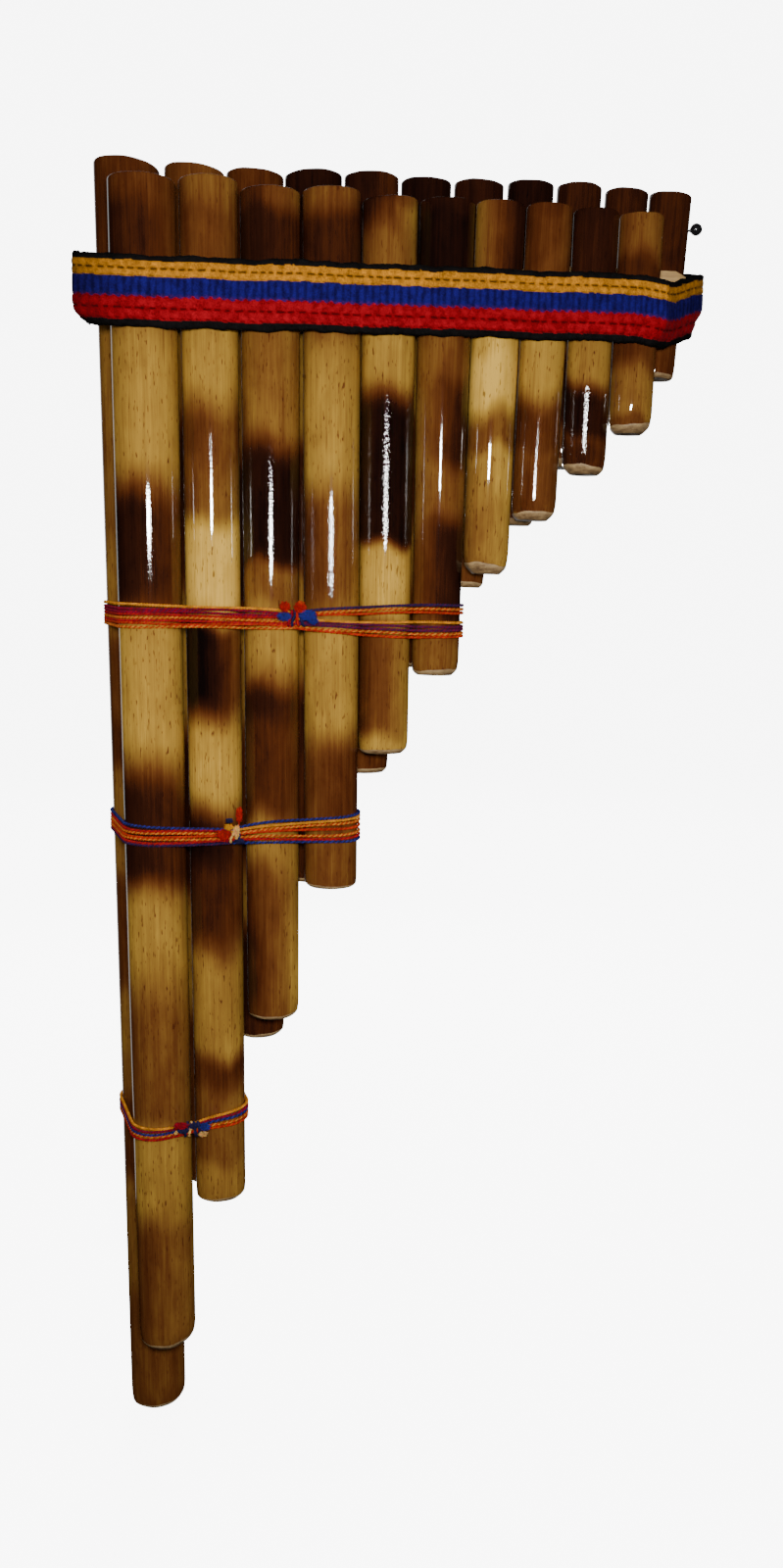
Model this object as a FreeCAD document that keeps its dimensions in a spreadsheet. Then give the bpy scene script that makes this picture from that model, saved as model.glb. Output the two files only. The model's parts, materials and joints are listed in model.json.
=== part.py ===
import FreeCAD, Part
import math
import os
import Sketcher

# A double-row Andean pan flute: eleven bamboo pipes behind and ten in front, bound by a woven band
# over three cane splints and by three cord lashings. Millimetres; +X runs from the long pipes to the
# short ones, +Y to the back row, +Z up along the pipes. The origin is under the middle of the flute,
# level with the foot of the longest pipe.

# Tuning: stopped quarter-wave pipes on the G major scale, which the two rows share out in turn.
SPEED_OF_SOUND = 343000.0
LOWEST_NOTE_HZ = 196.0
MAJOR_SCALE = (0, 2, 4, 5, 7, 9, 11)
END_CORRECTION = 0.6

# Pipes from the longest, each: mouth radius, foot radius, gap to the pipe before it, lean of its foot
# towards +X in degrees, drop of its mouth below the row's line, solid stub below its bore.
BACK_ROW = (
    (10.95, 10.10, 0.0, 0.75, 0.0, 10.0),
    (10.05, 9.30, 1.4, 0.50, 1.0, 10.5),
    (9.70, 9.00, 0.2, 0.30, 2.0, 9.5),
    (9.65, 9.10, 0.2, 0.10, 1.4, 13.0),
    (9.30, 8.80, 0.6, -0.15, 1.3, 10.5),
    (8.50, 7.80, 0.7, -0.75, 2.3, 2.5),
    (8.50, 8.20, 1.1, -1.45, 2.1, 8.5),
    (7.85, 7.70, 1.4, -1.90, 1.6, 7.5),
    (7.80, 7.60, 1.3, -2.10, 1.6, 10.0),
    (7.45, 7.30, 1.3, -2.60, 2.7, 7.0),
    (7.30, 7.00, 0.7, -3.30, 3.1, 6.0),
)
FRONT_ROW = (
    (10.90, 10.00, 0.0, 0.65, 0.0, 9.0),
    (9.45, 8.80, 0.5, 0.45, -0.8, 17.5),
    (9.75, 8.90, 0.5, 0.30, 1.8, 16.5),
    (9.45, 9.10, 0.5, 0.35, 0.8, 13.0),
    (9.15, 8.50, 0.5, 0.00, 2.4, 10.0),
    (9.10, 8.10, 0.5, -0.50, 2.4, 11.0),
    (8.25, 7.70, 0.5, -1.20, 2.0, 7.0),
    (7.70, 7.65, 0.5, -1.55, 1.9, 7.0),
    (7.55, 7.50, 0.5, -1.10, 2.7, 6.0),
    (7.45, 7.40, 0.5, -1.20, 3.3, 8.5),
)
BACK_START_X = -91.7
FRONT_START_X = -85.5
ROW_STEP = 11.0
ROW_GAP = 2.5
WALL_BASE = 1.15
WALL_SHARE = 0.1
MOUTH_ROUND = 0.6
FOOT_ROUND = 2.5
EDGE_FIND = 0.001

# Cane splints: two outer strips, and a middle strip that keeps the rows apart.
SPLINT_THICK = 1.5
SPLINT_TALL = 11.0
SPLINT_CLEAR = 0.05
SPLINT_LEFT = -104.0
FRONT_SPLINT_RIGHT = 86.0
REAR_SPLINT_RIGHT = 104.0
MIDDLE_RIGHT = 94.5
MIDDLE_THICK = 2.4
MIDDLE_TALL = 13.5
MIDDLE_TOP = 414.2

# Woven band: a loop round the splints whose plane rises to the back, drawn in at its lower edge.
BAND_THICK = 1.7
BAND_TALL = 21.3
BAND_SKIRT = 8.0
BAND_TOP = 411.4
BAND_TILT = 12.0
BAND_CLEAR = 0.1
SKIRT_CLEAR = 0.5

# Cord lashings: height of the middle of the strands, strands, spacing, pipes held in each row.
LASHINGS = {
    "upper": (293.4, 6, 1.60, 6),
    "middle": (220.2, 6, 1.50, 4),
    "lower": (119.6, 4, 1.35, 2),
}
CORD_RADIUS = 0.5
CORD_CLEAR = 0.05

# Knots: place along X, height, and half sizes along X, Y and Z.
KNOTS = {
    "upper": (-36.5, 294.9, 5.2, 1.9, 3.4),
    "middle": (-57.6, 222.0, 4.4, 2.0, 3.8),
    "lower": (-71.2, 120.4, 5.4, 1.9, 2.6),
}
KNOT_FRONT = -24.9

# Ball-headed pin in the side of the shortest back pipe.
PIN_BALL_RADIUS = 1.9
PIN_SHAFT_RADIUS = 0.35
PIN_SHAFT_OUT = 1.2
PIN_SHAFT_IN = 1.4
PIN_DROP = 10.5
PIN_RISE = 12.0

doc = FreeCAD.newDocument("pan_flute")
sheet = doc.addObject("Spreadsheet::Sheet", "Sizes")
parts = {}


def bind(thing, name, sizes):
    """Put each size into the sheet as name_key, and bind the thing's property to that cell."""
    for prop, (key, value) in sizes.items():
        alias = f"{name}_{key}"
        row = bind.rows = bind.rows + 1
        sheet.set(f"A{row}", alias)
        sheet.set(f"B{row}", f"{value:.4f}")
        sheet.setAlias(f"B{row}", alias)
        thing.setExpression(prop, f"Sizes.{alias}")


bind.rows = 0


def keep(node, thing):
    """Register a finished sub-part under its node's name."""
    thing.Label = node
    parts[node] = thing
    return thing


def vec(x, y, z=0.0):
    return FreeCAD.Vector(x, y, z)


def placed(x, y, z, axis=None, degrees=0.0):
    return FreeCAD.Placement(vec(x, y, z), FreeCAD.Rotation(axis or vec(0, 0, 1), degrees))


# ---------------------------------------------------------------- where the pipes stand

def speaking_length(step, bore_radius):
    """Depth of the bore that sounds this step of the scale, with the mouth's end correction."""
    octave, degree = divmod(step, len(MAJOR_SCALE))
    semitones = 12 * octave + MAJOR_SCALE[degree]
    frequency = LOWEST_NOTE_HZ * 2.0 ** (semitones / 12.0)
    return SPEED_OF_SOUND / (4.0 * frequency) - END_CORRECTION * bore_radius


def row_of_pipes(row, table, start_x, side, first_step):
    """Sizes and mouth centre of each pipe of a row: side is +1 behind the middle splint, -1 in front."""
    pipes = []
    x = start_x
    for index, (mouth, foot, gap, lean, drop, stub) in enumerate(table):
        if pipes:
            x += pipes[-1]["mouth"] + gap + mouth
        bore = round(mouth * (1.0 - WALL_SHARE) - WALL_BASE, 2)
        depth = round(speaking_length(first_step + 2 * index, bore), 1)
        pipes.append({
            "node": f"pipe_{row}_{index + 1:02d}",
            "mouth": mouth, "foot": foot, "bore": bore, "depth": depth, "length": depth + stub,
            "lean": lean, "drop": drop, "x": x, "y": side * (ROW_GAP / 2.0 + mouth), "side": side,
        })
    return pipes


def stand(back, front):
    """Give every mouth its height, with the foot of the longest pipe on the ground."""
    longest = back[0]
    lean = math.radians(longest["lean"])
    flat = longest["foot"] - FOOT_ROUND
    top = longest["length"] * math.cos(lean) + flat * math.sin(abs(lean))
    for pipe in back:
        pipe["z"] = top - pipe["drop"]
    for pipe in front:
        pipe["z"] = top - ROW_STEP - pipe["drop"]


def circle_at(pipe, height, clear=0.0):
    """The pipe's outside at a height, as a circle (x, y, radius) with this much room round it."""
    down = pipe["z"] - height
    radius = pipe["mouth"] + (pipe["foot"] - pipe["mouth"]) * down / pipe["length"]
    x = pipe["x"] + down * math.tan(math.radians(pipe["lean"]))
    return x, pipe["y"], radius + clear


# ---------------------------------------------------------------- outlines round circles

def hull_of(circles):
    """The circles that a taut loop round all of them touches, in counter-clockwise order."""
    touched = []
    for step in range(720):
        angle = math.radians(step / 2.0)
        reach = [x * math.cos(angle) + y * math.sin(angle) + r for x, y, r in circles]
        best = circles[reach.index(max(reach))]
        if not touched or touched[-1] != best:
            touched.append(best)
    if touched[0] == touched[-1]:
        touched.pop()
    return touched


def tangent_angle(a, b):
    """Direction of the outward normal where a taut line runs from circle a to circle b."""
    distance = math.hypot(b[0] - a[0], b[1] - a[1])
    heading = math.atan2(b[1] - a[1], b[0] - a[0])
    return heading - math.acos((a[2] - b[2]) / distance)


def on_circle(circle, angle):
    return vec(circle[0] + circle[2] * math.cos(angle), circle[1] + circle[2] * math.sin(angle))


def loop_sketch(name, circles, placement):
    """A closed sketch of tangent lines and arcs round a hull of circles, fully constrained."""
    sketch = doc.addObject("Sketcher::SketchObject", name)
    count = len(circles)
    angles = [tangent_angle(circles[i], circles[(i + 1) % count]) for i in range(count)]
    for i, circle in enumerate(circles):
        start, end = angles[i - 1], angles[i]
        while end < start:
            end += 2.0 * math.pi
        whole = Part.Circle(vec(circle[0], circle[1]), vec(0, 0, 1), circle[2])
        sketch.addGeometry(Part.ArcOfCircle(whole, start, end), False)
        following = circles[(i + 1) % count]
        line = Part.LineSegment(on_circle(circle, end), on_circle(following, end))
        sketch.addGeometry(line, False)
    sizes = {}
    for i, (x, y, radius) in enumerate(circles):
        arc, line, following = 2 * i, 2 * i + 1, (2 * i + 2) % (2 * count)
        sketch.addConstraint(Sketcher.Constraint("Tangent", arc, 2, line, 1))
        sketch.addConstraint(Sketcher.Constraint("Tangent", line, 2, following, 1))
        for kind, key, value in (("DistanceX", "x", x), ("DistanceY", "y", y)):
            number = sketch.addConstraint(Sketcher.Constraint(kind, -1, 1, arc, 3, value))
            sketch.renameConstraint(number, f"{key}{i}")
            sizes[f"Constraints.{key}{i}"] = (f"corner_{i + 1}_{key}", value)
        number = sketch.addConstraint(Sketcher.Constraint("Radius", arc, radius))
        sketch.renameConstraint(number, f"radius{i}")
        sizes[f"Constraints.radius{i}"] = (f"corner_{i + 1}_radius", radius)
    bind(sketch, name, sizes)
    sketch.Placement = placement
    return sketch


# ---------------------------------------------------------------- pipes

def pipe_profile(body, pipe):
    """Half section of a pipe: its mouth is on the sketch's X axis and its foot below."""
    sketch = body.newObject("Sketcher::SketchObject", "profile_" + pipe["node"])
    plane = next(f for f in body.Origin.OriginFeatures if f.Role == "XZ_Plane")
    sketch.AttachmentSupport = [(plane, "")]
    sketch.MapMode = "FlatFace"
    corners = [
        vec(0, -pipe["length"]), vec(pipe["foot"], -pipe["length"]), vec(pipe["mouth"], 0),
        vec(pipe["bore"], 0), vec(pipe["bore"], -pipe["depth"]), vec(0, -pipe["depth"]),
    ]
    for i, corner in enumerate(corners):
        sketch.addGeometry(Part.LineSegment(corner, corners[(i + 1) % 6]), False)
    rules = [("Coincident", i, 2, (i + 1) % 6, 1) for i in range(6)]
    rules += [("Horizontal", 0), ("Horizontal", 2), ("Vertical", 3), ("Horizontal", 4)]
    rules += [("PointOnObject", 5, 1, -2), ("PointOnObject", 5, 2, -2), ("PointOnObject", 2, 1, -1)]
    for rule in rules:
        sketch.addConstraint(Sketcher.Constraint(*rule))
    sizes = {}
    for key, rule in (
        ("foot", ("DistanceX", -1, 1, 1, 1)), ("mouth", ("DistanceX", -1, 1, 2, 1)),
        ("bore", ("DistanceX", -1, 1, 3, 1)), ("length", ("DistanceY", 0, 1, -1, 1)),
        ("depth", ("DistanceY", 4, 1, -1, 1)),
    ):
        number = sketch.addConstraint(Sketcher.Constraint(*rule, pipe[key]))
        sketch.renameConstraint(number, key)
        sizes[f"Constraints.{key}"] = (key, pipe[key])
    bind(sketch, pipe["node"], sizes)
    return sketch


def rounded(body, feature, name, height, radius):
    """Round every circular edge of the feature that lies level at this height."""
    doc.recompute()
    edges = [
        f"Edge{i + 1}" for i, edge in enumerate(feature.Shape.Edges)
        if abs(edge.BoundBox.ZMin - height) < EDGE_FIND and abs(edge.BoundBox.ZMax - height) < EDGE_FIND
    ]
    fillet = body.newObject("PartDesign::Fillet", name)
    fillet.Base = (feature, edges)
    bind(fillet, name, {"Radius": ("radius", radius)})
    return fillet


def make_pipe(pipe):
    """One bamboo pipe: open at the mouth, closed at the foot by its natural node."""
    body = doc.addObject("PartDesign::Body", "body_" + pipe["node"])
    profile = pipe_profile(body, pipe)
    turned = body.newObject("PartDesign::Revolution", "turned_" + pipe["node"])
    turned.Profile = profile
    turned.ReferenceAxis = (profile, ["V_Axis"])
    turned.Angle = 360.0
    mouth = rounded(body, turned, "mouth_" + pipe["node"], 0.0, MOUTH_ROUND)
    rounded(body, mouth, "foot_" + pipe["node"], -pipe["length"], FOOT_ROUND)
    body.Placement = placed(pipe["x"], pipe["y"], pipe["z"], vec(0, 1, 0), -pipe["lean"])
    keep(pipe["node"], body)


# ---------------------------------------------------------------- splints and band

def outer_line(row):
    """Outward side, slope and height at x = 0 of the straight line that lies along a row's outside."""
    side = row[0]["side"]
    z = row[0]["z"] - MIDDLE_TALL
    marks = [circle_at(pipe, z, SPLINT_CLEAR) for pipe in row]
    marks = [(x, side * y + r) for x, y, r in marks]
    start = marks[0]
    slope = max((y - start[1]) / (x - start[0]) for x, y in marks[1:])
    return side, slope, start[1] - slope * start[0]


def make_outer_splint(node, row, left, right):
    """A straight cane strip along the outside of a row; returns the two ends of its midline."""
    side, slope, offset = outer_line(row)
    turn = math.atan(slope) * side
    middle = SPLINT_THICK / 2.0 / math.cos(turn)
    ends = [(x, side * (slope * x + offset + middle)) for x in (left, right)]
    bottom = max(band_height(y, BAND_TALL - BAND_SKIRT) for x, y in ends)
    strip = doc.addObject("Part::Box", "box_" + node)
    bind(strip, node, {
        "Length": ("length", (right - left) / math.cos(turn)),
        "Width": ("thickness", SPLINT_THICK),
        "Height": ("tall", SPLINT_TALL),
    })
    inner = side * (slope * left + offset)
    if side < 0:
        inner -= SPLINT_THICK / math.cos(turn)
    strip.Placement = placed(left, inner, bottom, vec(0, 0, 1), math.degrees(turn))
    keep(node, strip)
    return ends


def make_middle_splint():
    """The strip between the rows."""
    strip = doc.addObject("Part::Box", "box_splint_middle")
    bind(strip, "splint_middle", {
        "Length": ("length", MIDDLE_RIGHT - SPLINT_LEFT),
        "Width": ("thickness", MIDDLE_THICK),
        "Height": ("tall", MIDDLE_TALL),
    })
    strip.Placement = placed(SPLINT_LEFT, -MIDDLE_THICK / 2.0, MIDDLE_TOP - MIDDLE_TALL)
    keep("splint_middle", strip)


def band_height(y, level):
    """Height of the band's tilted plane at y, level below its upper edge."""
    return BAND_TOP - level + y * math.tan(math.radians(BAND_TILT))


def tilted(circles):
    """Circles seen from above, moved out to where they lie in the band's tilted plane."""
    stretch = 1.0 / math.cos(math.radians(BAND_TILT))
    return [(x, y * stretch, r) for x, y, r in circles]


def band_loft(name, upper, lower):
    """Ruled solid of the band's outline: straight over the splints, then drawn in to the pipes."""
    levels = (("foot", lower, BAND_TALL), ("mid", upper, BAND_TALL - BAND_SKIRT), ("top", upper, 0.0))
    sections = [
        loop_sketch(f"{name}_{level}", tilted(circles),
                    placed(0, 0, BAND_TOP - down, vec(1, 0, 0), BAND_TILT))
        for level, circles, down in levels
    ]
    loft = doc.addObject("Part::Loft", name)
    loft.Sections = sections
    loft.Solid = True
    loft.Ruled = True
    return loft


def make_band(back, front, front_ends, rear_ends):
    """The woven band: the outer loft less the inner one."""
    ends = (front_ends[0], front_ends[1], rear_ends[1], rear_ends[0])
    tip = SPLINT_THICK / 2.0 + BAND_CLEAR
    corners = (front[0], front[-1], back[-1], back[0])
    lofts = []
    for name, grow in (("band_outside", BAND_THICK), ("band_inside", 0.0)):
        upper = [(x, y, tip + grow) for x, y in ends]
        lower = [
            circle_at(pipe, band_height(pipe["y"], BAND_TALL), SKIRT_CLEAR + grow)
            for pipe in corners
        ]
        lofts.append(band_loft(name, upper, lower))
    band = doc.addObject("Part::Cut", "cut_woven_band")
    band.Base, band.Tool = lofts
    keep("woven_band", band)


# ---------------------------------------------------------------- lashings, knots and pin

def make_lashing(name, back, front):
    """Parallel strands of cord, each pulled taut round the pipes of both rows."""
    height, strands, spacing, held = LASHINGS[name]
    room = CORD_RADIUS + CORD_CLEAR
    circles = [circle_at(pipe, height, room) for pipe in back[:held] + front[:held]]
    hull = hull_of(circles)
    tubes = []
    for strand in range(strands):
        z = height + spacing * (strand - (strands - 1) / 2.0)
        label = f"{name}_strand_{strand + 1}"
        path = loop_sketch(label + "_path", hull, placed(0, 0, z))
        start = on_circle(hull[0], tangent_angle(hull[0], hull[1]))
        ahead = on_circle(hull[1], tangent_angle(hull[0], hull[1])) - start
        section = doc.addObject("Part::Circle", label + "_section")
        bind(section, label, {"Radius": ("radius", CORD_RADIUS)})
        section.Placement = FreeCAD.Placement(
            start + vec(0, 0, z), FreeCAD.Rotation(vec(0, 0, 1), ahead))
        tube = doc.addObject("Part::Sweep", label)
        tube.Sections = [section]
        doc.recompute()
        tube.Spine = (path, [f"Edge{i + 1}" for i in range(len(path.Shape.Edges))])
        tube.Solid = True
        tube.Frenet = False
        tubes.append(tube)
    bundle = doc.addObject("Part::Compound", "bundle_" + name)
    bundle.Links = tubes
    keep("lashing_" + name, bundle)


def make_knot(name):
    """A flat knot of the lashing's ends, drawn tight between two pipes."""
    x, z, wide, deep, tall = KNOTS[name]
    knot = doc.addObject("Part::Ellipsoid", "ellipsoid_" + name)
    bind(knot, "knot_" + name, {
        "Radius1": ("half_tall", tall), "Radius2": ("half_wide", wide), "Radius3": ("half_deep", deep),
    })
    knot.Placement = placed(x, KNOT_FRONT + deep, z)
    keep("knot_" + name, knot)


def make_pin(pipe):
    """A short steel shaft set into the pipe's wall, and the ball on its outer end."""
    x, y, radius = circle_at(pipe, pipe["z"] - PIN_DROP)
    rise = math.radians(PIN_RISE)
    turn = FreeCAD.Rotation(vec(0, 1, 0), 90.0 - PIN_RISE)
    start = vec(x + radius - PIN_SHAFT_IN * math.cos(rise), y,
                pipe["z"] - PIN_DROP - PIN_SHAFT_IN * math.sin(rise))
    shaft_length = PIN_SHAFT_IN + PIN_SHAFT_OUT
    shaft = doc.addObject("Part::Cylinder", "cylinder_pin_shaft")
    bind(shaft, "pin_shaft", {
        "Radius": ("radius", PIN_SHAFT_RADIUS), "Height": ("length", shaft_length),
    })
    shaft.Placement = FreeCAD.Placement(start, turn)
    keep("pin_shaft", shaft)
    ball = doc.addObject("Part::Sphere", "sphere_pin_ball")
    bind(ball, "pin_ball", {"Radius": ("radius", PIN_BALL_RADIUS)})
    reach = shaft_length + PIN_BALL_RADIUS
    ball.Placement = FreeCAD.Placement(start + turn.multVec(vec(0, 0, reach)), turn)
    keep("pin_ball", ball)


# ---------------------------------------------------------------- the flute

def build():
    """Make every sub-part and return the two rows' sizes."""
    back = row_of_pipes("back", BACK_ROW, BACK_START_X, 1, 0)
    front = row_of_pipes("front", FRONT_ROW, FRONT_START_X, -1, 1)
    stand(back, front)
    for pipe in back + front:
        make_pipe(pipe)
    make_middle_splint()
    front_ends = make_outer_splint("splint_front", front, SPLINT_LEFT, FRONT_SPLINT_RIGHT)
    rear_ends = make_outer_splint("splint_rear", back, SPLINT_LEFT, REAR_SPLINT_RIGHT)
    make_band(back, front, front_ends, rear_ends)
    for name in LASHINGS:
        make_lashing(name, back, front)
        make_knot(name)
    make_pin(back[-1])
    doc.recompute()
    return back, front


def check():
    """Stop if any object failed or any sub-part's shape is missing or broken."""
    failed = [o.Name for o in doc.Objects if "Invalid" in o.State or "Error" in o.State]
    if failed:
        raise RuntimeError(f"failed objects: {failed}")
    for node, thing in parts.items():
        if thing.Shape.isNull() or not thing.Shape.isValid() or not thing.Shape.Solids:
            raise RuntimeError(f"{node} has no valid solid")


def write():
    os.makedirs("parts", exist_ok=True)
    for node, thing in parts.items():
        thing.Shape.exportStep(f"parts/{node}.step")


back_pipes, front_pipes = build()
check()
write()
print(len(parts), "sub-parts written")
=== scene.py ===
import json
import math
import random

import bpy
import numpy as np
from mathutils import Matrix, Vector


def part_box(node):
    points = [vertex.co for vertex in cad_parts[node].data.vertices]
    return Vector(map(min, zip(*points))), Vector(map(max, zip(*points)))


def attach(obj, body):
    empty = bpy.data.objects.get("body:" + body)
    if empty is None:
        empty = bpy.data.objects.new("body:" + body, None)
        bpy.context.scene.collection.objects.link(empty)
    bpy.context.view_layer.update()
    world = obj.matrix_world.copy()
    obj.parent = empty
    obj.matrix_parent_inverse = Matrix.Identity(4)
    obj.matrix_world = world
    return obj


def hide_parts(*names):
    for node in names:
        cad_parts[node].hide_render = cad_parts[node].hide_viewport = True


# The looks of a double-row bamboo pan flute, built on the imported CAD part. Metres, Z up; the viewer
# stands on the -Y side. Angles round a pipe are measured from its front (0) towards +X (90 degrees).

MM = 0.001
TURN = 2 * math.pi
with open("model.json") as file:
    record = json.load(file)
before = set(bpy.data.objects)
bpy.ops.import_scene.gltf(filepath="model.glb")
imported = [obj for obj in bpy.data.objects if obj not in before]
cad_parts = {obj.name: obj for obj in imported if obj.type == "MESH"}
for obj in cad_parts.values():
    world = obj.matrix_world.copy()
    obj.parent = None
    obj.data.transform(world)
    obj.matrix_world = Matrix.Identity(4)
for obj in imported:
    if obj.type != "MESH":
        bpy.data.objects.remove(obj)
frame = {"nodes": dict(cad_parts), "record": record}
link = bpy.context.scene.collection.objects.link
NODES = frame["nodes"]
MOUNTS = {mount["name"]: mount for mount in frame["record"]["mounts"]}
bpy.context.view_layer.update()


# ---- what each pipe looks like

# Tone of the bamboo's skin: 0 is pale straw and 1 is burnt black. Each pipe has a plain tone and its burns, each
# (from, to, fade above, fade below, tone), in mm below the mouth. A burn that is stronger on one side also has
# its extra tone there and that side's angle.
FRONT_BURNS = {
    1: (0.29, (
        (-9, 5, 1, 8, 0.64, 0.03, -80), (9, 30, 6, 16, 0.76, 0.12, -80), (101, 130, 12, 12, 0.82, 0.12, -70),
        (140, 176, 4, 10, 0.2), (193, 223, 12, 12, 0.82, 0.1, -80), (234, 246, 10, 10, 0.25),
        (270, 308, 12, 9, 0.53, 0.05, -90), (318, 342, 8, 8, 0.28), (350, 400, 10, 1, 0.55, 0.09, -80))),
    2: (0.25, (
        (-9, 5, 1, 8, 0.5, 0.03, -80), (9, 27, 6, 14, 0.6, 0.04, -80), (74, 92, 10, 10, 0.6, 0.06, -70),
        (90, 103, 6, 7, 0.52, 0.08, -80), (110, 132, 6, 10, 0.03), (142, 165, 5, 9, 0.8, 0.36, -55),
        (184, 194, 8, 8, 0.14), (208, 222, 10, 10, 0.86, 0.2, -60), (224, 244, 8, 12, 0.72, 0.1, -60),
        (260, 282, 8, 5, 0.31), (290, 300, 6, 8, 0.7), (303, 326, 8, 6, 0.51, 0.04, -80),
        (330, 345, 5, 1, 0.36))),
    3: (0.39, (
        (-9, 4, 1, 6, 0.62, 0.16, -70), (8, 27, 5, 12, 0.84, 0.1, -70), (84, 115, 9, 7, 0.94),
        (120, 128, 4, 6, 0.5), (134, 148, 5, 6, 0.27, 0.08, -80), (161, 172, 6, 8, 0.8, 0.12, -60),
        (172, 198, 6, 7, 0.7, 0.1, -60), (222, 275, 8, 1, 0.56, 0.22, -75), (245, 262, 8, 6, 0.62, 0.35, -85))),
    4: (0.3, (
        (-9, 5, 1, 5, 0.54), (9, 34, 5, 14, 0.78, 0.04, 0), (62, 88, 8, 8, 0.25),
        (99, 126, 10, 10, 0.57, 0.12, -70), (140, 166, 5, 8, 0.25), (180, 204, 8, 10, 0.65, 0.06, 80),
        (212, 230, 6, 1, 0.54))),
    5: (0.19, (
        (-9, 4, 1, 5, 0.72, 0.28, -70), (4, 12, 3, 8, 0.64, 0.36, -80), (14, 30, 8, 10, 0.5, 0.06, -80),
        (66, 108, 8, 4, 0.93, 0.05, 40), (138, 172, 6, 4, 0.53, 0.24, -78))),
    6: (0.46, (
        (-9, 5, 1, 5, 0.84), (6, 30, 5, 10, 0.95, 0.03, -60), (44, 62, 6, 6, 0.56, 0.1, 80),
        (64, 86, 8, 8, 0.7, 0.28, 70), (89, 98, 6, 5, 0.5, 0.04, 80), (106, 134, 7, 8, 0.78, 0.22, 70))),
    7: (0.1, (
        (-9, 28, 1, 9, 0.7, 0.3, 70), (50, 62, 6, 4, 0.01), (70, 77, 5, 5, 0.5, 0.06, -80),
        (82, 95, 4, 6, 0.26, 0.18, -80), (98, 120, 5, 1, 0.36, 0.14, -80))),
    8: (0.19, (
        (-9, 5, 1, 5, 0.66, 0.06, -60), (6, 30, 4, 10, 0.62, 0.06, -60), (67, 80, 7, 6, 0.66, 0.08, -60),
        (82, 101, 4, 1, 0.59, 0.06, -60))),
    9: (0.36, ((-9, 30, 1, 10, 0.82, 0.03, 0), (60, 72, 5, 5, 0.9, 0.06, -60), (76, 86, 4, 1, 0.72, 0.1, -60))),
    10: (0.36, (
        (-9, 10, 1, 5, 0.5, 0.04, -80), (15, 34, 5, 6, 0.72, 0.05, -60), (38, 47, 2, 8, 0.66, 0.06, -70),
        (52, 62, 5, 3, 0.42, 0.06, -80), (66, 74, 3, 1, 0.6))),
}
BACK_BURNS = {
    1: (0.44, (
        (-9, 40, 1, 14, 0.69), (50, 84, 6, 6, 0.43), (90, 120, 8, 8, 0.49), (130, 146, 8, 6, 0.37),
        (160, 186, 6, 6, 0.62), (189, 199, 4, 6, 0.7), (208, 236, 6, 5, 0.4), (244, 279, 5, 6, 0.66),
        (290, 308, 6, 8, 0.42), (325, 350, 6, 7, 0.68), (362, 392, 6, 6, 0.44), (402, 450, 6, 1, 0.56))),
    2: (0.34, ((-9, 40, 1, 12, 0.58), (84, 130, 10, 10, 0.8), (190, 236, 10, 10, 0.86), (290, 352, 10, 1, 0.6))),
    3: (0.36, (
        (-9, 42, 1, 12, 0.68), (100, 140, 9, 9, 0.88), (192, 232, 10, 9, 0.7),
        (262, 300, 10, 1, 0.78, 0.1, -70))),
    4: (0.32, ((-9, 36, 1, 10, 0.9), (92, 126, 8, 9, 0.8), (176, 245, 10, 1, 0.74))),
    5: (0.34, ((-9, 34, 1, 10, 0.8, 0.1, -60), (78, 118, 9, 9, 0.9), (160, 205, 9, 1, 0.66))),
    6: (0.34, ((-9, 34, 1, 9, 0.92), (84, 112, 8, 8, 0.7), (140, 165, 8, 1, 0.62))),
    7: (0.3, ((-9, 32, 1, 10, 0.84), (64, 96, 8, 8, 0.86), (120, 140, 6, 1, 0.6))),
    8: (0.28, ((-9, 30, 1, 9, 0.93), (60, 92, 8, 8, 0.74), (100, 116, 6, 1, 0.64))),
    9: (0.3, ((-9, 30, 1, 9, 0.8), (56, 76, 7, 7, 0.88), (84, 96, 6, 1, 0.62))),
    10: (0.3, ((-9, 28, 1, 9, 0.82), (52, 80, 7, 1, 0.7))),
    11: (0.32, ((-9, 40, 1, 8, 0.78), (48, 64, 6, 1, 0.66))),
}
# How far a mouth is cut down on its low side, in mm, and that side's angle; other mouths are nearly level.
SLANTED_MOUTHS = {
    "back_01": (2.5, 120), "back_02": (2.0, 115), "front_01": (1.0, 110),
    "back_03": (1.0, 110), "back_04": (0.8, -110), "front_05": (0.8, -80),
}
# How much the scorched skin of a pipe is blistered.
BLISTERS = {
    "front_01": 0.3, "front_02": 0.7, "front_03": 0.7, "front_04": 2.0,
    "front_05": 1.3, "front_06": 0.2, "front_08": 0.7, "front_09": 1.2,
}
PLAIN_BLISTER = 0.05
# How much the lacquer of a pipe thins towards its foot, in mm per mm, and how much it bulges along the pipe,
# in 1/mm, round a height in mm below the mouth.
LACQUER = {
    "front_02": (0.012, 0, 0), "front_03": (-0.018, 0, 0), "front_05": (0.002, 0, 0),
    "front_06": (0.037, 0, 0), "front_07": (0.048, 0.0012, 84), "front_08": (0.018, 0, 0),
    "front_09": (0.07, 0.001, 67), "front_10": (0.067, 0.004, 63),
}
# Height of the sanded bevel round each foot, in mm, and the side on which some bevels are clearly highest.
FOOT_BEVELS = {
    "front": (3.6, 1.9, 2.2, 1.7, 2.6, 3.2, 5.0, 4.0, 4.2, 4.4),
    "back": (3.0, 2.4, 2.4, 2.4, 2.4, 2.4, 3.4, 3.0, 3.4, 3.0, 2.4),
}
FOOT_LEANS = {"front_01": 80, "back_01": 90, "front_02": 60}
# How much higher than its plain solid a pipe's mouth is drawn, in mm.
MOUTH_RISE = {"front": 0.5, "back": 0.8}

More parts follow.
